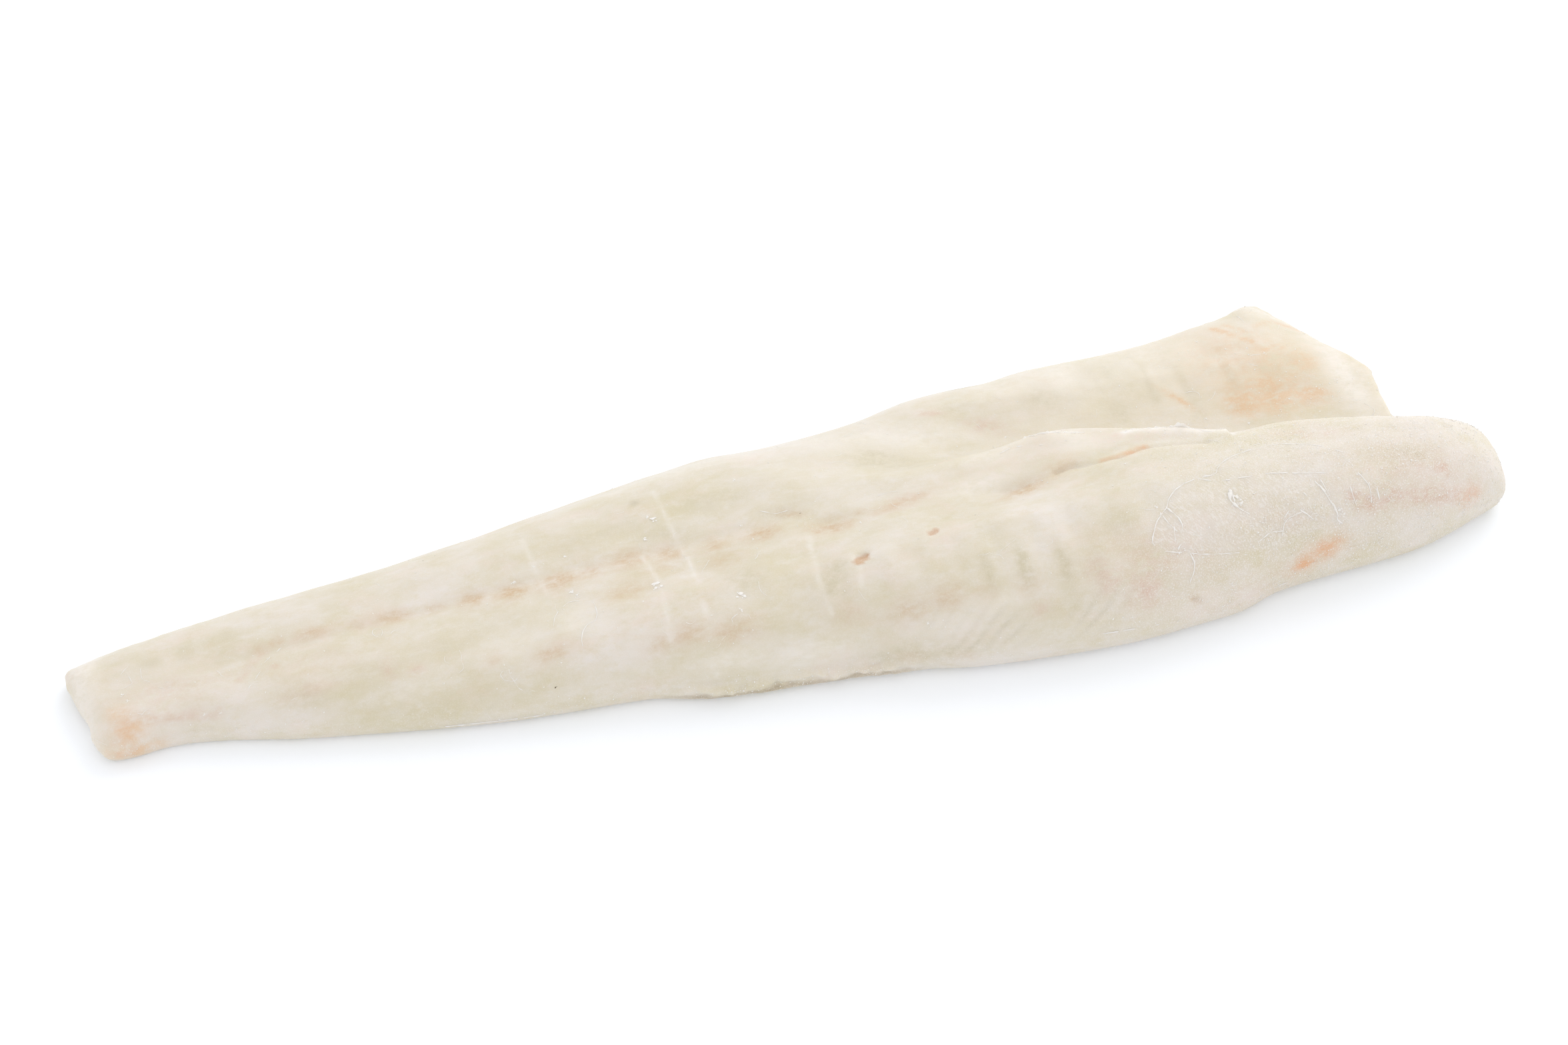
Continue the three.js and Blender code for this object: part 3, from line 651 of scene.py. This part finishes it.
def skinSideLayers(tree, place, noise, mottle, under):
    # the colours of the chevrons and of the strip, and the share of each
    along, across, _ = addNode(tree, "SeparateXYZ", links={0: place}).outputs
    bent = addNode(tree, "Math", {"operation": "MULTIPLY_ADD", 1: skinSide["waver"] * mm},
                   {0: noise["milky"], 2: across})
    middle = (skinSide["across"] + 0.5 * skinSide["waver"]) * mm
    beside = addNode(tree, "Math", {"operation": "SUBTRACT", 1: middle}, {0: bent.outputs[0]})
    away = addNode(tree, "Math", {"operation": "ABSOLUTE"}, {0: beside.outputs[0]})
    swept = addNode(tree, "Math", {"operation": "MULTIPLY_ADD", 1: skinSide["sweep"]},
                    {0: away.outputs[0], 2: along})
    swept = addNode(tree, "Math", {"operation": "MULTIPLY_ADD", 1: 1.5 * skinSide["waver"] * mm},
                    {0: noise["olive"], 2: swept.outputs[0]})
    phase = addNode(tree, "Math", {"operation": "MULTIPLY", 1: 2 * math.pi / (skinSide["pitch"] * mm)},
                    {0: swept.outputs[0]})
    wave = addNode(tree, "Math", {"operation": "SINE"}, {0: phase.outputs[0]})
    wall = addNode(tree, "MapRange", {"From Min": 0.8, "From Max": 1, "To Max": 0.5},
                   {"Value": wave.outputs[0]})
    width = skinSide["halfWidth"] * mm
    strip = addNode(tree, "MapRange", {
        "From Min": width, "From Max": 1.8 * width, "To Min": 0.75, "To Max": 0,
    }, {"Value": away.outputs[0]})
    swing = addNode(tree, "Math", {"operation": "MULTIPLY_ADD", 1: 0.4, 2: 0.8}, {0: mottle.outputs[0]})
    layers = []
    for name, shown in (("wall", wall), ("strip", strip)):
        share = addNode(tree, "Math", {"operation": "MULTIPLY"}, {0: shown.outputs[0], 1: under})
        share = addNode(tree, "Math", {"operation": "MULTIPLY", "use_clamp": True},
                        {0: share.outputs[0], 1: swing.outputs[0]})
        layers.append((skinSide[name], share.outputs[0]))
    return layers


def cloudLayers(tree, clouds, noise, painted):
    layers = []
    for name, low, high, strength, tone, keptTo in clouds:
        share = addNode(tree, "MapRange", {"From Min": low, "From Max": high, "To Max": strength},
                        {"Value": noise[name]})
        if keptTo:
            share = addNode(tree, "Math", {"operation": "MULTIPLY"},
                            {0: share.outputs[0], 1: painted[keptTo]})
        layers.append((tone, share.outputs[0]))
    return layers


def frozenFlesh():
    # Raw white fish, skinned by machine and frozen: milky flesh that light enters and leaves again,
    # in cloudy patches of cream, grey and pink, satin where it is bare and matt white where frost grew.
    made, tree = newMaterial("frozen raw white fish")
    place = addNode(tree, "TexCoord").outputs["Object"]
    noise, painted = fleshNoise(tree, place), {}
    for name in [mark for mark, _, _ in fleshLooks["marks"]] + ["frost", "glazed", "under"]:
        painted[name] = addNode(tree, "Attribute", {"attribute_name": name}).outputs["Fac"]
    mottle = addNode(tree, "MapRange", {"From Min": 0.36, "From Max": 0.64, "To Min": -1},
                     {"Value": noise["mottle"]})
    # from the lowest up, each layer is a colour and the share of it that covers what is below
    layers = cloudLayers(tree, fleshLooks["clouds"], noise, painted)
    for name, tone, broken in fleshLooks["marks"]:
        swing = addNode(tree, "Math", {"operation": "MULTIPLY_ADD", 1: broken, 2: 1},
                        {0: mottle.outputs[0]})
        share = addNode(tree, "Math", {"operation": "MULTIPLY", "use_clamp": True},
                        {0: painted[name], 1: swing.outputs[0]})
        layers.append((tone, share.outputs[0]))
    layers += skinSideLayers(tree, place, noise, mottle, painted["under"])
    layers += cloudLayers(tree, fleshLooks["frost"], noise, painted)
    colour = None
    for tone, share in layers:
        mixed = addNode(tree, "Mix", {
            "data_type": "RGBA", 6: linear(fleshLooks["ground"]), 7: linear(tone),
        }, {0: share})
        if colour:
            tree.links.new(colour, mixed.inputs[6])
        colour = mixed.outputs[2]
    height = None
    for name, depth in fleshLooks["relief"]:
        raised = addNode(tree, "Math", {"operation": "MULTIPLY_ADD", 1: depth * mm, 2: 0}, {0: noise[name]})
        if height:
            tree.links.new(height, raised.inputs[2])
        height = raised.outputs[0]
    bump = addNode(tree, "Bump", {"Distance": 1, "Strength": 0.8}, {"Height": height})
    rough = addNode(tree, "MapRange", {"To Min": 0.4, "To Max": 0.65}, {"Value": painted["frost"]})
    shader = addNode(tree, "BsdfPrincipled", {
        "IOR": 1.36, "Subsurface Weight": 0.4, "Subsurface Radius": (1.0, 0.85, 0.7),
        "Subsurface Scale": 3 * mm, "Coat Weight": 0.12, "Coat Roughness": 0.25, "Coat IOR": 1.31,
    }, {"Base Color": colour, "Roughness": rough.outputs[0], "Normal": bump.outputs[0]})
    addNode(tree, "OutputMaterial", links={"Surface": shader.outputs["BSDF"]})
    return made


def finish(piece, material):
    piece.data.materials.clear()
    piece.data.materials.append(material)
    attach(piece, "root")


finish(fillet, frozenFlesh())
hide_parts("fillet")
print("flesh finished")


def hoarfrost():
    # Frost and snow-white ice crystals: matt white, a little greyer where they are packed.
    made, tree = newMaterial("hoarfrost")
    place = addNode(tree, "TexCoord").outputs["Object"]
    cloud = addNode(tree, "TexNoise", {"Scale": 1 / (0.8 * mm), "Detail": 3}, {"Vector": place})
    colour = addNode(tree, "Mix", {"data_type": "RGBA", 6: linear("#e0dbd3"), 7: linear("#efedea")},
                     {0: cloud.outputs["Fac"]})
    bump = addNode(tree, "Bump", {"Distance": 0.05 * mm, "Strength": 0.4}, {"Height": cloud.outputs["Fac"]})
    shader = addNode(tree, "BsdfPrincipled", {"Roughness": 0.55, "IOR": 1.31},
                     {"Base Color": colour.outputs[2], "Normal": bump.outputs[0]})
    addNode(tree, "OutputMaterial", links={"Surface": shader.outputs["BSDF"]})
    return made


def glazeIce():
    # Glaze: the thin coat of ice left by dipping, clear, with a little fine white grit in it.
    made, tree = newMaterial("glaze ice")
    place = addNode(tree, "TexCoord").outputs["Object"]
    grit = addNode(tree, "TexNoise", {"Scale": 1 / (0.3 * mm), "Detail": 3, "Roughness": 0.7},
                   {"Vector": place})
    alpha = addNode(tree, "MapRange", {"From Min": 0.67, "From Max": 0.7, "To Min": 0.02, "To Max": 0.9},
                    {"Value": grit.outputs["Fac"]})
    shader = addNode(tree, "BsdfPrincipled", {
        "Base Color": linear("#e9e7e4"), "Roughness": 0.3, "IOR": 1.31,
    }, {"Alpha": alpha.outputs[0]})
    addNode(tree, "OutputMaterial", links={"Surface": shader.outputs["BSDF"]})
    return made


def tornSkin():
    # A thin edge of flesh torn by the knife and dried by the cold. It is whiter than the rest, partly its
    # own dried paleness and partly painted light for the light that shines through the thin edge.
    made, tree = newMaterial("torn dry fish flesh with painted backlight")
    place = addNode(tree, "TexCoord").outputs["Object"]
    drawn = addNode(tree, "Mapping", {"Scale": (0.3, 1, 1)}, {"Vector": place})
    fibres = addNode(tree, "TexNoise", {"Scale": 1 / (0.8 * mm), "Detail": 4},
                     {"Vector": drawn.outputs[0]})
    colour = addNode(tree, "Mix", {"data_type": "RGBA", 6: linear("#f1ede6"), 7: linear("#fbf9f6")},
                     {0: fibres.outputs["Fac"]})
    bump = addNode(tree, "Bump", {"Distance": 0.08 * mm, "Strength": 0.6},
                   {"Height": fibres.outputs["Fac"]})
    shader = addNode(tree, "BsdfPrincipled", {"Roughness": 0.5, "IOR": 1.36},
                     {"Base Color": colour.outputs[2], "Normal": bump.outputs[0]})
    addNode(tree, "OutputMaterial", links={"Surface": shader.outputs["BSDF"]})
    return made


def darkSpeck():
    # Specks of dark belly lining left by the knife: brown-black, slightly shiny, olive where they thin out.
    made, tree = newMaterial("dark belly lining")
    place = addNode(tree, "TexCoord").outputs["Object"]
    cloud = addNode(tree, "TexNoise", {"Scale": 1 / (0.3 * mm), "Detail": 2}, {"Vector": place})
    colour = addNode(tree, "Mix", {"data_type": "RGBA", 6: linear("#4c443a"), 7: linear("#8d7a5c")},
                     {0: cloud.outputs["Fac"]})
    shader = addNode(tree, "BsdfPrincipled", {"Roughness": 0.45}, {"Base Color": colour.outputs[2]})
    addNode(tree, "OutputMaterial", links={"Surface": shader.outputs["BSDF"]})
    return made


def linked(name, data):
    piece = bpy.data.objects.new(name, data)
    bpy.context.scene.collection.objects.link(piece)
    return piece


def meshPiece(name, points, faces):
    mesh = bpy.data.meshes.new(name)
    mesh.from_pydata((np.array(points) * mm).tolist(), [], faces)
    return linked(name, mesh)


def smoothPiece(name, points, faces):
    piece = meshPiece(name, points, faces)
    selectOnly(piece)
    bpy.ops.object.mode_set(mode="EDIT")
    bpy.ops.mesh.select_all(action="SELECT")
    bpy.ops.mesh.normals_make_consistent(inside=False)
    bpy.ops.object.mode_set(mode="OBJECT")
    bpy.ops.object.shade_smooth_by_angle(angle=math.radians(50))
    return piece


def loft(loops):  # closed loops of equally many points, skinned and capped
    rows, around = len(loops), len(loops[0])

    def corner(i, j):
        return i * around + j % around

    faces = [(corner(i, j), corner(i, j + 1), corner(i + 1, j + 1), corner(i + 1, j))
             for i in range(rows - 1) for j in range(around)]
    faces += [tuple(corner(0, j) for j in range(around)), tuple(corner(rows - 1, j) for j in range(around))]
    return [point for loop in loops for point in loop], faces


def joined(name, parts):
    points, faces = [], []
    for partPoints, partFaces in parts:
        faces += [tuple(i + len(points) for i in face) for face in partFaces]
        points += list(partPoints)
    return smoothPiece(name, points, faces)


def makeTornEdges(surface):
    way = np.array([0, tornEdges["lean"], 1]) / math.hypot(tornEdges["lean"], 1)  # up, leaning back
    side = np.cross(way, (1, 0, 0))
    parts = []
    for seed, corners in enumerate(tornEdges["edges"]):
        line = smoothLine(corners, 0.25)
        foot = np.array([surface.below(x, y)[0] for x, y, _, _ in line]) - tornEdges["root"] * way
        torn = line[:, 3] * (1 + 0.2 * hills(foot, 1.1, 30 + seed))
        torn += tornEdges["tear"] * hills(foot, 0.4, 40 + seed)
        height = tornEdges["root"] + np.maximum(torn, -0.3)
        loops = []
        for i, start in enumerate(foot):
            up = np.linspace(0, 1, tornEdges["steps"])
            spine = start + np.outer(up * height[i], way)
            spine += np.outer(0.25 * up * hills(spine, 1.6, 50 + seed), side)
            half = 0.5 * (tornEdges["atRoot"] * (1 - up) ** 2 + tornEdges["atTop"] * up)[:, None] * side
            loops.append([*(spine - half), *(spine + half)[::-1]])
        parts.append(loft(loops))
    return joined("torn_edges", parts)


tornEdge = makeTornEdges(skin)
finish(tornEdge, tornSkin())
print("torn edges:", len(tornEdge.data.polygons), "faces")


def makeGlazeSheet(surface):
    outline = glazeSheet["outline"]
    rim = smoothLine([(x, y, 0) for x, y in [*outline, outline[0]]], 0.5)[:-1]
    middle = np.array([*glazeSheet["middle"], 0])
    shares = np.linspace(0, 1, glazeSheet["rings"] + 1)[1:] ** 0.7  # rings are closer together near the rim
    flat, inside = [middle], [np.inf]  # places seen from above, and how far each is from the rim
    for share in shares:
        for spot in rim:
            flat.append(middle + share * (spot - middle))
            inside.append(np.linalg.norm(spot - middle) * (1 - share))
    flat, inside = np.array(flat), np.array(inside)
    laid = [surface.below(x, y) for x, y, _ in flat]
    spots, normals = np.array([spot for spot, _ in laid]), np.array([normal for _, normal in laid])
    cloudy = 1 - rise(flat[:, 1], glazeSheet["cloudyTo"], glazeSheet["cloudyFrom"])
    wrinkled = np.abs(hills(spots, 1.6, 80, 0.5)) + 0.5 * hills(spots, 3, 81)
    height = glazeSheet["lift"] * rise(inside, 0, 1) - glazeSheet["sunk"] * bell(inside, 0.4)
    height += glazeSheet["wrinkles"] * rise(inside, 0, 1) * cloudy * wrinkled
    spots += normals * height[:, None]
    count = len(rim)
    faces = [(0, 1 + j, 1 + (j + 1) % count) for j in range(count)]
    faces += [(1 + i * count + j, 1 + (i + 1) * count + j, 1 + (i + 1) * count + (j + 1) % count,
               1 + i * count + (j + 1) % count) for i in range(len(shares) - 1) for j in range(count)]
    piece = smoothPiece("glaze_sheet", spots, faces)
    if pointsOf(piece, "normal")[:, 2].mean() < 0:
        piece.data.flip_normals()
    applyModifier(piece, "SOLIDIFY", thickness=glazeSheet["thickness"] * mm, offset=-1)
    return piece


glaze = makeGlazeSheet(skin)
finish(glaze, glazeIce())
print("glaze sheet:", len(glaze.data.polygons), "faces")

# Thin white lines: rims and curls of glaze, and a veil of ice. Each is its corners, its half thickness
# or that of its two ends, and the share of the line that is there.
frostLines = [
    ([(65.3, -32.1, 19.2), (65.2, -30.9, 19.8), (67.1, -27.6, 20.9), (69.9, -25.1, 21.6),
      (71.1, -23.2, 22), (74, -21.1, 22.4), (78, -20, 22.5), (81.6, -19.8, 22.5), (82.9, -18.3, 22.6),
      (85.7, -16.3, 22.2), (90.4, -14.8, 21.7), (95.9, -14.3, 21.5), (100.5, -15, 21.3),
      (104.7, -16.7, 21.3), (109.3, -20.3, 21.4)], 0.13, 0.95),
    ([(65.3, -32.1, 19.2), (66.7, -33.3, 18.6), (69.9, -34, 18), (73.8, -34.8, 17.3),
      (78.4, -35.3, 16.6), (81.8, -35.5, 16.2)], 0.12, 0.9),
    ([(78, -20, 22.5), (80.5, -21.2, 22.4), (83.7, -21.9, 22.3), (88.4, -22.1, 22.2), (93, -22.2, 22.0),
      (99.8, -23.3, 21.6), (103.7, -23.9, 21.3)], 0.14, 0.75),
    ([(83.2, -24.9, 21.9), (82.6, -26.2, 21.5), (83.1, -27.4, 21.0), (84.4, -28.8, 20.4),
      (85.6, -29.7, 19.9)], (0.6, 0.06), 1.2),
    ([(97.8, -27.2, 20.5), (98.5, -28.2, 20)], 0.12, 0.9),
    ([(101.3, -25.9, 21), (102.5, -27.9, 20), (103.3, -29.9, 18.6), (103.8, -31.4, 17.2),
      (103.7, -32.2, 16), (104.6, -32.6, 15)], 0.16, 0.85),
    ([(92.5, -31.3, 18.4), (93.2, -30.7, 18.9), (93.9, -30.1, 19.2)], 0.14, 0.9),
    ([(97.1, -32, 17.2), (98.4, -31.3, 17.8), (99.6, -31.1, 17.9)], 0.12, 0.9),
    ([(68.5, -25.7, 21.4), (69, -27.9, 20.9), (70.4, -30.4, 20)], 0.14, 0.6),
    ([(110, -25, 20.6), (111.5, -28, 19), (111.2, -30.5, 17)], 0.12, 0.6),
    ([(99.7, -23.6, 21.3), (101.6, -26.5, 20.3), (103.2, -30.2, 17.9), (103.9, -31.7, 16.3)],
      (0.22, 0.1), 0.9),
    ([(101.8, -23.7, 21.2), (102.4, -26.3, 20.2), (103, -28.5, 19.1)], (0.2, 0.1), 0.9),
    ([(91.4, -33.4, 15.9), (93.1, -31.3, 18), (96.8, -30.3, 18.4)], (0.18, 0.08), 0.9),
    ([(96.2, -30, 18.7), (97.4, -30.8, 17.9), (98.6, -31.7, 16.9)], (0.2, 0.1), 0.9),
    ([(69.9, -25.2, 21.6), (71.6, -28.3, 20.9), (71.3, -31.6, 19.7), (69.6, -33.7, 18.6)], (0.25, 0.15),
      0.9),
    ([(107.6, -27.4, 19.6), (107.8, -29.2, 18.4), (108.1, -30.7, 17)], (0.16, 0.08), 0.9),
    ([(113.1, -28.1, 18.7), (113, -29.2, 17.9), (113.2, -30.2, 17)], (0.15, 0.1), 0.9),
    ([(71.8, -34.6, 18), (72.2, -36.7, 16.2), (70.7, -38.6, 13.8)], (0.15, 0.1), 0.9),
    ([(83.3, -24.3, 22.2), (83.4, -27, 21.6), (83.9, -28.8, 20.9)], (0.5, 0.1), 0.9),
    ([(86.5, -34.2, 16.7), (89, -33, 17.1), (92, -32.7, 16.6)], (0.18, 0.1), 0.9),
    ([(68.9, -26.1, 21.3), (70, -29.3, 20.5), (69.5, -32.1, 19.4)], (0.3, 0.15), 0.9),
    ([(-111.4, -13.8, 9.5), (-108.8, -10.8, 9.9), (-106, -7, 9.8), (-101.4, -3.9, 9.9)], 0.1, 0.5),
    ([(-51.9, -17.2, 13.5), (-50.6, -14.1, 14), (-48.1, -12, 14), (-45.5, -12.2, 14),
      (-43.4, -13.4, 14), (-43, -16, 14), (-43.8, -18.2, 13.8), (-45.7, -18.9, 13.5), (-47.2, -21, 13),
      (-47.3, -22.7, 12.5)], 0.09, 0.85),
    ([(44, 1.1, 17.2), (46.4, 1.9, 17.4), (48.4, 1.7, 17.5), (52.3, 0.6, 17.7), (57.7, 0.2, 17.9)],
      0.12, 0.7),
    ([(-6, 0.6, 15), (-3, -0.9, 15), (0.6, -0.6, 15)], 0.09, 0.9),
    ([(-76, -26.8, 2), (-70, -27.4, 2.2), (-64, -28, 2.2), (-57, -28.8, 2.2)], 0.25, 0.85),
    ([(52, -41, 7.2), (58, -41.4, 7), (64, -41.4, 6.5)], 0.2, 0.8),
    ([(86, -38.4, 4.4), (93, -37, 4.6)], 0.2, 0.8),
]
# Hair-fine wisps of frost all over the top, each a short curl.
wisps = {
    "count": 110, "length": (1.5, 7), "thick": (0.035, 0.07), "step": 0.8, "bend": 0.35, "waver": 0.3,
    "seed": 21,
}


def makeWisps(piece):
    points, normals = pointsOf(piece), pointsOf(piece, "normal")
    dice = np.random.default_rng(wisps["seed"])
    chance = rise(normals[:, 2], 0.3, 0.8)
    lines = []
    for start in points[dice.choice(len(points), wisps["count"], p=chance / chance.sum())]:
        length, heading = dice.uniform(*wisps["length"]), dice.uniform(0, 2 * math.pi)
        turn = dice.normal(0, wisps["bend"])
        corners = [start]
        for _ in range(max(2, int(length / wisps["step"]))):
            ahead = np.array([math.cos(heading), math.sin(heading), 0])
            corners.append(corners[-1] + wisps["step"] * ahead)
            heading += turn + dice.normal(0, wisps["waver"])
        lines.append((corners, dice.uniform(*wisps["thick"]), dice.uniform(0.7, 1)))
    return lines


def stretchesOf(shown):  # start and end of each stretch of a line that is shown
    turns = np.flatnonzero(np.diff([0, *shown, 0])).tolist()
    return zip(turns[::2], turns[1::2])


def makeFrostLines(lines, surface):
    curve = bpy.data.curves.new("frost_lines", "CURVE")
    curve.dimensions = "3D"
    curve.bevel_depth = mm
    curve.bevel_resolution = 1
    curve.use_fill_caps = True
    for seed, (corners, thick, there) in enumerate(lines):
        line = smoothLine(corners, 0.35)
        shown = hills(line, 2, 100 + seed) < 2.2 * (there - 0.5)
        laid = np.array([surface.nearest(spot)[0] for spot in line])
        laid[:, 0] += 0.05 * hills(line, 1, 200 + seed)
        laid[:, 1] += 0.05 * hills(line, 1, 300 + seed)
        radii = np.linspace(*np.broadcast_to(thick, 2), len(line))
        radii *= np.clip(0.8 + 0.4 * hills(line, 0.9, 400 + seed), 0.3, 1.6)
        for start, end in stretchesOf(shown):
            if end - start > 2:
                spline = curve.splines.new("POLY")
                spline.points.add(end - start - 1)
                for i, point in enumerate(spline.points, start):
                    point.co = (*(laid[i] * mm), 1)
                    point.radius = radii[i] * (0.5 if i in (start, end - 1) else 1)
    selectOnly(linked("frost_lines", curve))
    bpy.ops.object.convert(target="MESH")
    piece = bpy.context.object
    points = pointsOf(piece)
    for i, point in enumerate(points):  # pressed flat on the flesh
        foot, normal = surface.nearest(point)
        points[i] = point - 0.6 * (point - foot) @ normal * normal
    movePoints(piece, points)
    return piece


frost = hoarfrost()
frostLine = makeFrostLines(frostLines + makeWisps(fillet), skin)
finish(frostLine, frost)
print("frost lines:", len(frostLine.data.polygons), "faces")

# Loose ice on the flesh: larger flakes where they lie, and fine grains, most of them at the loin's
# thick end, some low on its front face and on the lip, and a few everywhere.
iceFlakes = [  # place and length
    ((-56.8, -2.8, 12), 0.9), ((-52.1, -0.3, 12.4), 0.7), ((-46.5, -9.5, 13.5), 1.3),
    ((-45.7, -10.6, 13.6), 0.9), ((-45.7, 0.5, 12.8), 0.9), ((-26.8, 4.9, 13.8), 1.6),
    ((-27.6, 5.6, 13.7), 0.9), ((-29.5, 0.2, 13.6), 1.1), ((-30.1, -12.6, 14.9), 2.2),
    ((-30.6, -13.8, 14.9), 1.3), ((-15.3, -20.4, 16), 1.9), ((-16.1, -24, 15.3), 0.9),
    ((-14.7, -21.4, 16), 1.2), ((18.5, -34.6, 13), 0.8), ((96.8, 30.4, 6.5), 0.7),
    ((109.5, 23.8, 6.5), 0.7), ((106.4, 26, 6.5), 0.6), ((110.8, 11.6, 4.7), 0.7),
    ((92.3, 10.6, 4.7), 0.9), ((100.6, 7.7, 4.5), 0.8), ((-135.1, -7.2, 8), 0.9), ((-134.3, -9.1, 8), 0.7),
    ((-120.6, -16.7, 8), 0.6), ((-117.6, -17.2, 8), 0.6), ((-8.5, 10.6, 14.5), 0.7),
    ((49.6, 13.5, 8.5), 0.7), ((12, -9.2, 17), 0.7), ((-10.5, -1.8, 14.9), 0.6), ((-9.1, -6.4, 15.3), 0.6),
    ((68, -24.6, 21.7), 0.9), ((68.4, -26.2, 21.3), 0.8), ((104.4, -31.2, 17.5), 1.0),
    ((105.2, -31.9, 16.8), 0.8), ((106.1, -30.4, 17.9), 0.7), ((84.2, -26.1, 21.6), 1.5),
    ((84.6, -27.5, 21.0), 1.1),
]
iceGrains = {
    "count": 9000, "size": (0.06, 0.2), "seed": 7,
    "everywhere": 0.04, "lowFront": 0.5, "onLip": 1.5, "thickEnd": 1,  # how closely they lie
}
# Specks of the dark lining: place and length.
darkSpecks = [((-54.1, -27.2, 7.9), 0.6), ((1.6, -2.4, 15), 0.4)]


def chip(jitter, seed):  # one crumb, a roughened little ball one millimetre in half length
    bpy.ops.mesh.primitive_ico_sphere_add(subdivisions=1, radius=mm)
    made = bpy.context.object
    points = pointsOf(made)
    movePoints(made, points * (1 + jitter * np.random.default_rng(seed).normal(size=(len(points), 1))))
    return made


def scatter(name, model, places, normals, sizes, seed):
    # copies of the model, each turned its own way on the flesh, all in one mesh; a size has three sides
    shape = pointsOf(model)
    faces = np.array([face.vertices[:] for face in model.data.polygons])
    bpy.data.objects.remove(model)
    ahead = np.cross(normals, np.random.default_rng(seed).normal(size=normals.shape))
    ahead /= np.linalg.norm(ahead, axis=1)[:, None]
    side = np.cross(normals, ahead)
    points = np.repeat(places[:, None, :], len(shape), axis=1)
    for axis, way in enumerate((ahead, side, normals)):
        points += (shape[None, :, axis] * sizes[:, None, axis])[:, :, None] * way[:, None, :]
    faces = faces[None] + len(shape) * np.arange(len(places))[:, None, None]
    return meshPiece(name, points.reshape(-1, 3), faces.reshape(-1, 3).tolist())


def makeLaid(name, table, surface, heap, flatness, seed):
    # each place in the table gets a heap of chips, the first the largest, within the length given
    dice = np.random.default_rng(seed)
    places, normals, sizes = [], [], []
    for place, length in table:
        for i in range(heap):
            reach = 0.5 * length * min(i, 1)
            foot, normal = surface.nearest(np.array(place) + reach * dice.uniform(-1, 1, 3))
            half = length * (0.32 if i == 0 else dice.uniform(0.1, 0.2))
            places.append(foot)
            normals.append(normal)
            sizes.append(half * np.array([1, dice.uniform(0.5, 0.9), flatness]))
    model = chip(jitter=0.3, seed=seed)
    return scatter(name, model, np.array(places), np.array(normals), np.array(sizes), seed)


def makeGrains(piece):
    points, normals = pointsOf(piece), pointsOf(piece, "normal")
    x, y, z = points.T
    dice = np.random.default_rng(iceGrains["seed"])
    thickEnd = rise(x - 0.6 * y, 70, 125) * (0.35 + rise(-y, 0, 12))
    lowFront = (1 - rise(z, 2, 8)) * rise(-y, 12, 20)
    onLip = rise(x, -34, -28) * (1 - rise(x, 8, 14)) * bell(z - 3.2, 1.2) * rise(-y, 24, 28)
    chance = iceGrains["everywhere"] + iceGrains["thickEnd"] * thickEnd
    chance += iceGrains["lowFront"] * lowFront + iceGrains["onLip"] * onLip
    chance *= rise(normals[:, 2], -0.5, 0) * np.clip(1 + 0.8 * hills(points, 6, 90), 0.05, 3)
    chosen = dice.choice(len(points), iceGrains["count"], p=chance / chance.sum())
    places = points[chosen] + dice.uniform(-0.3, 0.3, (len(chosen), 3)) * (1 - np.abs(normals[chosen]))
    low, high = iceGrains["size"]
    sizes = low + (high - low) * dice.uniform(0, 1, (len(chosen), 1)) ** 3
    sizes = sizes * dice.uniform(0.6, 1.2, (len(chosen), 3)) * np.array([1, 1, 0.4])
    return scatter("ice_grains", chip(jitter=0.2, seed=3), places, normals[chosen], sizes, seed=4)


flakes = makeLaid("ice_flakes", iceFlakes, skin, heap=6, flatness=0.3, seed=5)
finish(flakes, frost)
grains = makeGrains(fillet)
finish(grains, frost)
specks = makeLaid("dark_specks", darkSpecks, skin, heap=2, flatness=0.3, seed=6)
finish(specks, darkSpeck())
looseFaces = sum(len(piece.data.polygons) for piece in (flakes, grains, specks))
print("flakes, grains and specks:", looseFaces, "faces")
